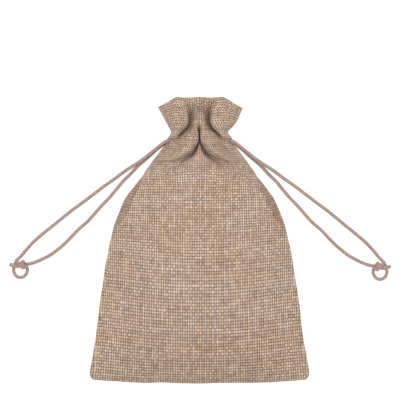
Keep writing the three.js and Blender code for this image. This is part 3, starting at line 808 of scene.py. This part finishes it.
def side_points(points, side):
    """Points of the left cord, or their mirror; the right knot lies a little further out and lower."""
    if side < 0:
        return [list(p) for p in points]
    out = []
    for x, y, z in points:
        t = float(smooth(60, 105, -x))
        out.append([-x + 0.9 * t, y - 1.1 * t, z])
    return out


for label, side in (("left", -1), ("right", 1)):
    body = f"{label}_drawstring"
    pieces = {}
    # knot: the cord wrapped round both strands, one turn of it showing over the outer strand
    kx, ky, kz = -106.1, -15.5, 2.75
    ax = np.array([0.80, 0.60, 0.0])
    axn = np.array([-0.60, 0.80, 0.0])
    up = np.array([0, 0, 1.0])
    wraps = []
    for q in np.linspace(-0.10, 2.10, 26):
        a = 2 * math.pi * q + 0.6
        c = np.array([kx, ky, kz]) + ax * (q - 1.0) * 1.35
        rr = 1.68
        wraps.append(c + rr * (math.cos(a) * axn + math.sin(a) * up))
    wraps = [list(w) for w in wraps]
    knot, _ = tube(f"{label}_cord_knot", side_points(wraps, side), 1.0, around=18, step=0.2)
    core = [[-110.3, -12.6, 1.0], [-110.0, -13.4, 2.5], [-109.0, -14.5, 3.15], [-107.9, -15.5, 3.1], [-106.9, -16.2, 2.8]]
    knot_core, _ = tube(f"{label}_cord_knot_core", side_points(core, side), 0.95, around=16, step=0.2)
    loop, _ = tube(f"{label}_cord_end_loop", side_points(LOOP, side), 0.97, around=18, step=0.2)
    tail, _ = tube(f"{label}_cord_tail", side_points(TAIL, side), 1.1, around=18, step=0.2)
    for ob, node in ((knot, "knot"), (knot_core, None), (loop, "end_loop"), (tail, "tail")):
        ob.data.materials.append(CORD)
        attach(ob, body)
        if node:
            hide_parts(f"{label}_drawstring_{node}")
    for which, route in (("upper", UPPER), ("lower", LOWER)):
        x0, y0, z0 = route[0]
        lead = [[x0 + d * math.cos(LEAD), y0 + d * math.sin(LEAD), z0] for d in (9.3, 6, 3)]
        pts = lead + route + ([] if which == "upper" else [[-104.6, -15.3, 2.0]])
        ob, line = tube(f"{label}_cord_{which}_strand", side_points(pts, side), 1.0, caps=(False, which == "lower"))
        ob.data.materials.append(CORD)
        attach(ob, body)
        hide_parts(f"{label}_drawstring_{which}_strand")

# ------------------------------------------------------------------ sewing and what is inside
def merge_tubes(name, lines, radius, around=7, uv_scale=1.0):
    """Many short closed tubes as one mesh."""
    V, Q, T, UV = [], [], [], []
    base = 0
    for p in lines:
        p = np.asarray(p, float)
        t, n, b = frames(p)
        m = len(p)
        th = np.arange(around) * 2 * np.pi / around
        f = np.linspace(0, 1, m)
        r = radius * np.sqrt(np.maximum(1 - (2 * f - 1) ** 8, 0.10))
        ring = p[:, None, :] + r[:, None, None] * (np.cos(th)[None, :, None] * n[:, None, :] + np.sin(th)[None, :, None] * b[:, None, :])
        V.append(np.concatenate([ring.reshape(-1, 3), p[:1], p[-1:]]))
        idx = base + np.arange(m * around).reshape(m, around)
        nxt = np.roll(idx, -1, 1)
        Q.append(np.stack([idx[:-1], nxt[:-1], nxt[1:], idx[1:]], -1).reshape(-1, 4))
        c0, c1 = base + m * around, base + m * around + 1
        T += [(c0, nxt[0, k], idx[0, k]) for k in range(around)] + [(c1, idx[-1, k], nxt[-1, k]) for k in range(around)]
        s = np.concatenate([[0], np.cumsum(np.linalg.norm(np.diff(p, axis=0), axis=1))])
        UV.append(np.concatenate([
            np.stack([np.broadcast_to(th[None, :] / (2 * np.pi), (m, around)), np.broadcast_to(s[:, None] * uv_scale, (m, around))], -1).reshape(-1, 2),
            [[0.5, 0.0], [0.5, s[-1]]]]))
        base += m * around + 2
    return make_mesh(name, np.concatenate(V), np.concatenate(Q), np.array(T), np.concatenate(UV), uv_name="cord")


def stitch_row(path, normal, stitch, gap, lift):
    """Stitches along a line on the cloth: each dips into the cloth at both ends."""
    s = np.concatenate([[0], np.cumsum(np.linalg.norm(np.diff(path, axis=0), axis=1))])
    out = []
    at = 0.8
    while at + stitch < s[-1] - 0.6:
        q = np.linspace(at, at + stitch, 7)
        p = np.stack([np.interp(q, s, path[:, k]) for k in range(3)], -1)
        n = np.stack([np.interp(q, s, normal[:, k]) for k in range(3)], -1)
        n /= np.linalg.norm(n, axis=1, keepdims=True)
        h = lift * (1 - (np.linspace(-1, 1, 7)) ** 4 * 1.9)
        out.append(p + n * h[:, None])
        at += stitch + gap
    return out


def finish_sewing(ob, node, material=None, body="pouch"):
    ob.data.materials.append(material or THREAD)
    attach(ob, body)
    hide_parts(node)
    return ob


sewn = {"front": [], "back": []}
for face, P, sg in (("front", FRONT, 1), ("back", BACK, -1)):
    N = grid_normals(blur(blur(P, 3, 0), 3, 1), True) * sg
    for row, level in (("lower", 55.2), ("upper", 65.2)):
        j = int(np.argmin(np.abs(P[:, NU // 2, 1] - level)))
        lines = stitch_row(P[j], N[j], 2.1, 1.0, 0.12)
        ob = merge_tubes(f"{face}_casing_{row}_stitching", lines, 0.2)
        sewn[face].append(finish_sewing(ob, f"{face}_casing_{row}_stitches"))

# side, header and bottom seams: lockstitch running inside the edge, crossing from one panel to the other
edge_y = 0.5 * (FRONT[:, -1, 1] + BACK[:, -1, 1])


def seam_line(column, inset, y0, y1, side):
    """Points between the panels, inset mm in from their joined edges."""
    f, b = FRONT[:, column], BACK[:, column]
    y = np.arange(y0, y1, 0.5)
    p = np.stack([0.5 * (np.interp(y, f[:, 1], f[:, k]) + np.interp(y, b[:, 1], b[:, k])) for k in (0, 2)], -1)
    return np.stack([p[:, 0] - side * inset, y, p[:, 1]], -1)


def zigzag(line, pitch, amp):
    s = np.concatenate([[0], np.cumsum(np.linalg.norm(np.diff(line, axis=0), axis=1))])
    q = np.arange(0, s[-1], 0.3)
    p = np.stack([np.interp(q, s, line[:, k]) for k in range(3)], -1)
    p[:, 2] += amp * np.clip(1.6 * np.sin(2 * np.pi * q / pitch), -1, 1)
    return p


for label, side in (("left", -1), ("right", 1)):
    col = 0 if side < 0 else NU
    for part, y0, y1 in (("side", -81.0, 54.0), ("header", 66.0, 77.5)):
        line = zigzag(seam_line(col, 1.3, y0, y1, side), 2.6, 0.45)
        ob = merge_tubes(f"{label}_{part}_seam_stitching", [line], 0.2)
        sewn["front"].append(finish_sewing(ob, f"{label}_{part}_seam_thread"))
xs = np.arange(-60.5, 60.5, 0.5)
fb, bb = FRONT[3], BACK[3]
line = np.stack([xs, np.interp(xs, fb[:, 0], fb[:, 1]) + 0.9,
                 0.5 * (np.interp(xs, fb[:, 0], fb[:, 2]) + np.interp(xs, bb[:, 0], bb[:, 2]))], -1)
ob = merge_tubes("bottom_seam_stitching", [zigzag(line, 2.6, 0.3)], 0.2)
sewn["front"].append(finish_sewing(ob, "bottom_seam_thread"))


def allowance(name, node, line, inward, width, lift):
    """The raw edges of both panels, two layers side by side inside the seam, a little wavy at the cut."""
    s = np.concatenate([[0], np.cumsum(np.linalg.norm(np.diff(line, axis=0), axis=1))])
    n = int(s[-1] / 1.0)
    q = np.linspace(0, s[-1], n + 1)
    p = np.stack([np.interp(q, s, line[:, k]) for k in range(3)], -1)
    m = 7
    w = np.linspace(0, 1, m + 1)
    ragged = width * (1 + 0.05 * value_noise(q / 2.1, q * 0 + 0.5, 51) + 0.05 * np.sin(q * 2.2))
    inward = np.asarray(inward, float)
    mid = p[:, None, :] + inward * (ragged[:, None] * w[None, :])[..., None]
    wave = lift * w[None, :] + 0.35 * np.sin(q / 6.0)[:, None] * w[None, :] ** 1.5
    mid[..., 2] += wave
    half = 0.5
    verts = np.concatenate([(mid + [0, 0, half]).reshape(-1, 3), (mid - [0, 0, half]).reshape(-1, 3)])
    i = np.arange((n + 1) * (m + 1)).reshape(n + 1, m + 1)
    k = i + i.size
    q1 = np.stack([i[:-1, :-1], i[:-1, 1:], i[1:, 1:], i[1:, :-1]], -1).reshape(-1, 4)
    q2 = np.stack([k[:-1, :-1], k[1:, :-1], k[1:, 1:], k[:-1, 1:]], -1).reshape(-1, 4)
    sides = []
    for a, b in ((i[:, 0], k[:, 0]), (i[::-1, -1], k[::-1, -1]), (i[0, ::-1], k[0, ::-1]), (i[-1], k[-1])):
        sides.append(np.stack([a[:-1], a[1:], b[1:], b[:-1]], -1))
    quads = np.concatenate([q1, q2] + sides)
    uv = np.stack([np.broadcast_to(w[None, :] * width / PITCH_U, (n + 1, m + 1)), np.broadcast_to(q[:, None] / 1.75, (n + 1, m + 1))], -1).reshape(-1, 2)
    ob = make_mesh(name, verts, quads, np.zeros((0, 3), int), np.concatenate([uv, uv]))
    # outward faces whichever way the strip runs
    bm = bmesh.new()
    bm.from_mesh(ob.data)
    bmesh.ops.recalc_face_normals(bm, faces=bm.faces)
    bm.to_mesh(ob.data)
    bm.free()
    return finish_sewing(ob, node, CLOTH)


for label, side in (("left", -1), ("right", 1)):
    col = 0 if side < 0 else NU
    line = seam_line(col, 1.8, -78.0, 48.0, side)
    sewn["front"].append(allowance(f"{label}_turned_in_edge", f"{label}_seam_allowance", line, (-side, 0.0, 0.0), 6.0, 0.3))
line = np.stack([xs, np.interp(xs, fb[:, 0], fb[:, 1]) + 1.6, np.full_like(xs, 2.4)], -1)
line = line[(xs > -55) & (xs < 55)]
sewn["front"].append(allowance("bottom_turned_in_edge", "bottom_seam_allowance", line, (0.0, 1.0, 0.0), 6.0, 1.6))

# the lengths of cord that stay inside the casing
run_z = table([(0, 6.4), (4, 6.5), (8, 6.8), (11, 7.4), (13, 8.6), (15, 10.2), (18, 11.2)])
run_back_z = table([(0, 3.3), (4, 3.4), (10, 3.6), (14, 4.6), (18, 6.2)])
xr = np.linspace(-8.7, 8.7, 30)
for label, zt, lift in (("left", run_z, 0.0), ("right", run_back_z, 0.0)):
    y = 60.3 + 1.0 * (1 - (xr / 8.7) ** 2)
    pts = np.stack([xr, y, zt(np.abs(xr))], -1)
    ob, _ = tube(f"{label}_cord_casing_run", [list(p) for p in pts], 0.97, around=16, step=0.25)
    ob.data.materials.append(CORD)
    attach(ob, "pouch")
    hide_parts(f"{label}_drawstring_channel_run")

# ------------------------------------------------------------------ floor and light
floor_me = bpy.data.meshes.new("floor")
floor_me.from_pydata([(-3, -3, -0.0004), (3, -3, -0.0004), (3, 3, -0.0004), (-3, 3, -0.0004)], [], [(0, 1, 2, 3)])
floor = bpy.data.objects.new("floor", floor_me)
scene.collection.objects.link(floor)
fm = bpy.data.materials.new("floor")
fm.use_nodes = True
fb = fm.node_tree.nodes["Principled BSDF"]
fb.inputs["Base Color"].default_value = (0.3, 0.3, 0.3, 1)
fb.inputs["Roughness"].default_value = 0.9
fb.inputs["Specular IOR Level"].default_value = 0.1
fb.inputs["Emission Color"].default_value = (1, 1, 1, 1)
fb.inputs["Emission Strength"].default_value = 0.82
floor_me.materials.append(fm)

world = bpy.data.worlds.new("world")
world.use_nodes = True
world.node_tree.nodes["Background"].inputs[0].default_value = (1.0, 0.78, 0.60, 1)
world.node_tree.nodes["Background"].inputs[1].default_value = 0.18
scene.world = world


def area_light(name, loc, target, size, power):
    d = bpy.data.lights.new(name, "AREA")
    d.shape = "SQUARE"
    d.size = size
    d.energy = power
    o = bpy.data.objects.new(name, d)
    o.location = loc
    o.rotation_euler = (Vector(target) - Vector(loc)).to_track_quat("-Z", "Y").to_euler()
    scene.collection.objects.link(o)
    return o


area_light("key left", (-0.85, 0.16, 1.0), (0, 0, 0), 0.6, 7.8)
area_light("key right", (0.85, 0.16, 1.0), (0, 0, 0), 0.6, 7.2)
area_light("top", (0.0, 0.05, 1.35), (0, 0, 0), 0.5, 5.6)
scene.view_settings.view_transform = "Standard"
scene.view_settings.look = "None"
scene.view_settings.exposure = 0.0
scene.view_settings.gamma = 1.0
